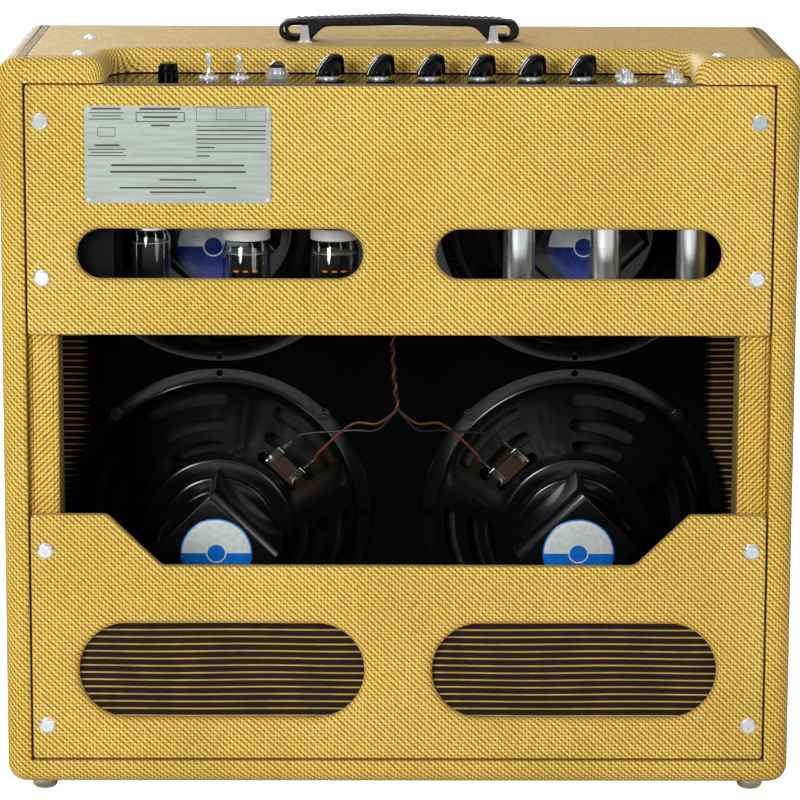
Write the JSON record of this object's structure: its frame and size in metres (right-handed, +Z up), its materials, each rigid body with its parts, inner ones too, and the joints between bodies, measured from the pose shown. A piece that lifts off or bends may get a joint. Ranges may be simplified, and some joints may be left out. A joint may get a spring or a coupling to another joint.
{
  "type": "guitar amplifier",
  "caption": "Open-backed combo guitar amplifier: twill-covered pine cabinet, top-mounted chromed controls, hanging tubes and tilted baffle with loudspeakers.",
  "frame": {"origin": "floor level, under the middle of the cabinet", "axes": "+Z up, +Y towards the open back with the panels, grille at -Y, +X to the left seen from the back"},
  "size_m": [0.603, 0.2684, 0.5924],
  "materials": {
    "tweed": "golden diagonal twill cloth over solid pine, lightly lacquered",
    "bare_wood": "raw pine",
    "black_baffle": "plywood painted matt black",
    "grille_cloth": "woven dark red-brown cloth with gold cross threads",
    "bright_metal": "nickel or chrome plated",
    "chassis_chrome": "chromed folded steel",
    "plate_metal": "brushed",
    "foot_rubber": "matt",
    "handle_leather": "black with stitched edges",
    "black_plastic": "gloss",
    "switch_steel": "plated",
    "jewel_glass": "faceted amber",
    "tube_glass": "clear",
    "iron": "black enamel",
    "board_fibre": "fibre board and small parts",
    "speaker_enamel": "gloss black enamel",
    "cone_paper": "pressed paper",
    "wire_cover": "cloth-covered wire"
  },
  "bodies": {
    "cabinet": {"cabinet_top": "tweed", "cabinet_bottom": "tweed", "cabinet_side_left": "tweed", "cabinet_side_right": "tweed", "back_cleats": "tweed", "upper_back_panel": "tweed", "lower_back_panel": "tweed", "panel_screws": "bright_metal", "panel_washers": "bright_metal", "rear_grille_cloth": "grille_cloth", "nameplate": "plate_metal", "nameplate_rivets": "bright_metal", "feet": "foot_rubber", "foot_screws": "bright_metal", "handle_brackets": "bright_metal", "handle_screws": "bright_metal", "chassis": "chassis_chrome", "chassis_bolts": "bright_metal", "fuse_holder": "black_plastic", "toggle_switch_bodies": "switch_steel", "panel_nuts": "bright_metal", "pilot_lamp_holder": "bright_metal", "pilot_jewel": "jewel_glass", "potentiometers": "switch_steel", "input_jacks": "bright_metal", "tube_sockets": "black_plastic", "rectifier_tube": "tube_glass", "power_tubes": "tube_glass", "preamp_tubes": "tube_glass", "tube_shields": "bright_metal", "tube_clamps": "bright_metal", "power_transformer": "iron", "output_transformer": "iron", "choke": "iron", "component_board": "board_fibre", "board_components": "board_fibre", "baffle_board": "black_baffle", "front_grille_cloth": "grille_cloth", "front_rails": "tweed", "baffle_battens": "bare_wood", "speaker_baskets": "speaker_enamel", "speaker_magnets": "speaker_enamel", "speaker_bolts": "bright_metal", "speaker_terminals": "board_fibre", "speaker_wires": "wire_cover"},
    "handle": {"handle_strap": "handle_leather"},
    "fuse_carrier": {"fuse": "tube_glass"},
    "fuse_cap": {"fuse_cap": "black_plastic"},
    "standby_lever": {"standby_lever": "bright_metal"},
    "power_lever": {"power_lever": "bright_metal"},
    "presence_knob": {"presence_knob": "black_plastic"},
    "middle_knob": {"middle_knob": "black_plastic"},
    "bass_knob": {"bass_knob": "black_plastic"},
    "treble_knob": {"treble_knob": "black_plastic"},
    "bright_volume_knob": {"bright_volume_knob": "black_plastic"},
    "normal_volume_knob": {"normal_volume_knob": "black_plastic"},
    "upper_left_cone": {"upper_left_cone": "cone_paper"},
    "upper_right_cone": {"upper_right_cone": "cone_paper"},
    "lower_left_cone": {"lower_left_cone": "cone_paper"},
    "lower_right_cone": {"lower_right_cone": "cone_paper"}
  },
  "joints": [
    {"name": "handle_lift", "type": "slide", "parent": "cabinet", "child": "handle", "axis": [0, 0, 1], "range_m": [0, 0.002]},
    {"name": "fuse_pull", "type": "slide", "parent": "cabinet", "child": "fuse_carrier", "axis": [0, 0, 1], "range_m": [0, 0.045]},
    {"name": "fuse_cap_twist", "type": "hinge", "parent": "fuse_carrier", "child": "fuse_cap", "pos_m": [0.1753, 0.0935, 0.5586], "axis": [0, 0, 1], "range_deg": [0, 45]},
    {"name": "standby_toggle", "type": "hinge", "parent": "cabinet", "child": "standby_lever", "pos_m": [0.1446, 0.0935, 0.555], "axis": [1, 0, 0], "range_deg": [-24, 0]},
    {"name": "power_toggle", "type": "hinge", "parent": "cabinet", "child": "power_lever", "pos_m": [0.1211, 0.0935, 0.555], "axis": [1, 0, 0], "range_deg": [0, 24]},
    {"name": "presence_turn", "type": "hinge", "parent": "cabinet", "child": "presence_knob", "pos_m": [0.0542, 0.0935, 0.553], "axis": [0, 0, 1], "range_deg": [-150, 150]},
    {"name": "middle_turn", "type": "hinge", "parent": "cabinet", "child": "middle_knob", "pos_m": [0.0159, 0.0935, 0.553], "axis": [0, 0, 1], "range_deg": [-150, 150]},
    {"name": "bass_turn", "type": "hinge", "parent": "cabinet", "child": "bass_knob", "pos_m": [-0.0224, 0.0935, 0.553], "axis": [0, 0, 1], "range_deg": [-150, 150]},
    {"name": "treble_turn", "type": "hinge", "parent": "cabinet", "child": "treble_knob", "pos_m": [-0.0607, 0.0935, 0.553], "axis": [0, 0, 1], "range_deg": [-150, 150]},
    {"name": "bright_volume_turn", "type": "hinge", "parent": "cabinet", "child": "bright_volume_knob", "pos_m": [-0.099, 0.0935, 0.553], "axis": [0, 0, 1], "range_deg": [-150, 150]},
    {"name": "normal_volume_turn", "type": "hinge", "parent": "cabinet", "child": "normal_volume_knob", "pos_m": [-0.1373, 0.0935, 0.553], "axis": [0, 0, 1], "range_deg": [-150, 150]},
    {"name": "upper_left_cone_travel", "type": "slide", "parent": "cabinet", "child": "upper_left_cone", "axis": [0, 0.9945, -0.1045], "range_m": [-0.002, 0.002]},
    {"name": "upper_right_cone_travel", "type": "slide", "parent": "cabinet", "child": "upper_right_cone", "axis": [0, 0.9945, -0.1045], "range_m": [-0.002, 0.002]},
    {"name": "lower_left_cone_travel", "type": "slide", "parent": "cabinet", "child": "lower_left_cone", "axis": [0, 0.9945, -0.1045], "range_m": [-0.002, 0.002]},
    {"name": "lower_right_cone_travel", "type": "slide", "parent": "cabinet", "child": "lower_right_cone", "axis": [0, 0.9945, -0.1045], "range_m": [-0.002, 0.002]}
  ]
}
